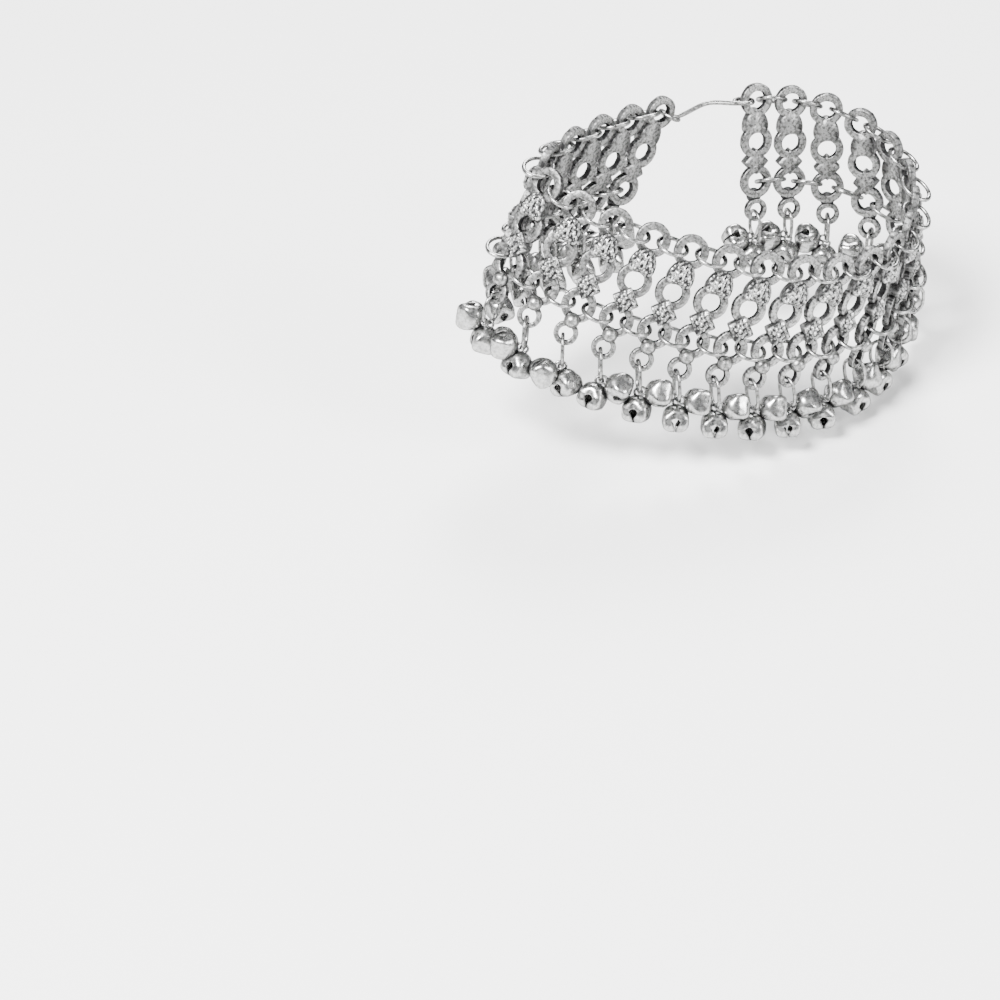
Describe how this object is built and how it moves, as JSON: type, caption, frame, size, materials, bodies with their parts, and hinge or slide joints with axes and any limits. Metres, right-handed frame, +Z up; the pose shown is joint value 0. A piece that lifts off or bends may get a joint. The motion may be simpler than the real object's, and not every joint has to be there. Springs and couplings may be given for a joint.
{
  "type": "anklet with bells",
  "caption": "Worn loop of cast openwork bars on wire links, each bar of rings and pebbled relief carrying a pair of small crimped bells.",
  "frame": {"origin": "middle of the loop through the centres of the bars' top rings, where the worn band is held", "axes": "+Z up in the room, +X to the right and +Y away from the viewer of the picture; the bars lean along (0.408, 0.307, 0.860)"},
  "size_m": [0.1239, 0.0866, 0.0741],
  "materials": {
    "cast_metal": "antiqued silver-tone cast metal, satin, dark in its pits",
    "bell_metal": "satin silver-tone sheet metal",
    "wire_metal": "silver-tone drawn wire"
  },
  "bodies": {
    "root": {"bar_01": "cast_metal", "bar_02": "cast_metal", "bar_03": "cast_metal", "bar_04": "cast_metal", "bar_05": "cast_metal", "bar_06": "cast_metal", "bar_07": "cast_metal", "bar_08": "cast_metal", "bar_09": "cast_metal", "bar_10": "cast_metal", "bar_11": "cast_metal", "bar_12": "cast_metal", "bar_13": "cast_metal", "bar_14": "cast_metal", "bar_15": "cast_metal", "bar_16": "cast_metal", "bar_17": "cast_metal", "bar_18": "cast_metal", "bar_19": "cast_metal", "bar_20": "cast_metal", "bar_21": "cast_metal", "bar_22": "cast_metal", "bar_23": "cast_metal", "bar_24": "cast_metal", "drop_01": "bell_metal", "drop_02": "bell_metal", "drop_03": "bell_metal", "drop_04": "bell_metal", "drop_05": "bell_metal", "drop_06": "bell_metal", "drop_07": "bell_metal", "drop_08": "bell_metal", "drop_09": "bell_metal", "drop_10": "bell_metal", "drop_11": "bell_metal", "drop_12": "bell_metal", "drop_13": "bell_metal", "drop_14": "bell_metal", "drop_15": "bell_metal", "drop_16": "bell_metal", "drop_17": "bell_metal", "drop_18": "bell_metal", "drop_19": "bell_metal", "drop_20": "bell_metal", "drop_21": "bell_metal", "drop_22": "bell_metal", "drop_23": "bell_metal", "drop_24": "bell_metal", "links_upper": "wire_metal", "links_lower": "wire_metal", "clasp": "wire_metal"}
  },
  "joints": []
}
